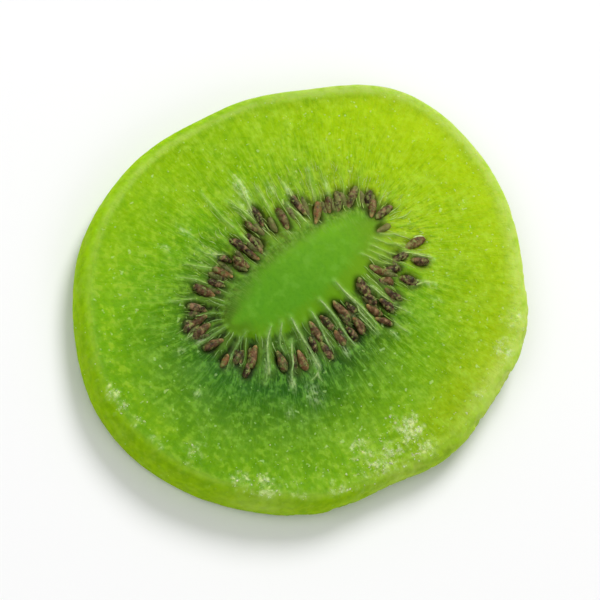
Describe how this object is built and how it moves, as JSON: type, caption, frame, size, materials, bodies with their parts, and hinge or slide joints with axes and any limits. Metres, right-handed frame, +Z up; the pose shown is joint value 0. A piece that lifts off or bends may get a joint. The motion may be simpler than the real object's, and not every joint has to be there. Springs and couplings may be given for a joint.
{
  "type": "dried kiwi slice",
  "caption": "Candied dried kiwi slice: a lobed oval disc with a rounded rim, dished face, pale oval core, ring of dark seeds and light sugar frosting.",
  "frame": {"origin": "bottom centre of the slice's bounding box, on the surface it rests on", "axes": "+Z up out of the shown cut face, +Y along the slice's longer diameter and its core, +X across them"},
  "size_m": [0.0464, 0.056, 0.0049],
  "materials": {
    "flesh": "satin",
    "seed": "satin",
    "fibre": "satin",
    "sugar": "satin"
  },
  "bodies": {
    "root": {"kiwi_slice": "flesh"}
  },
  "joints": []
}
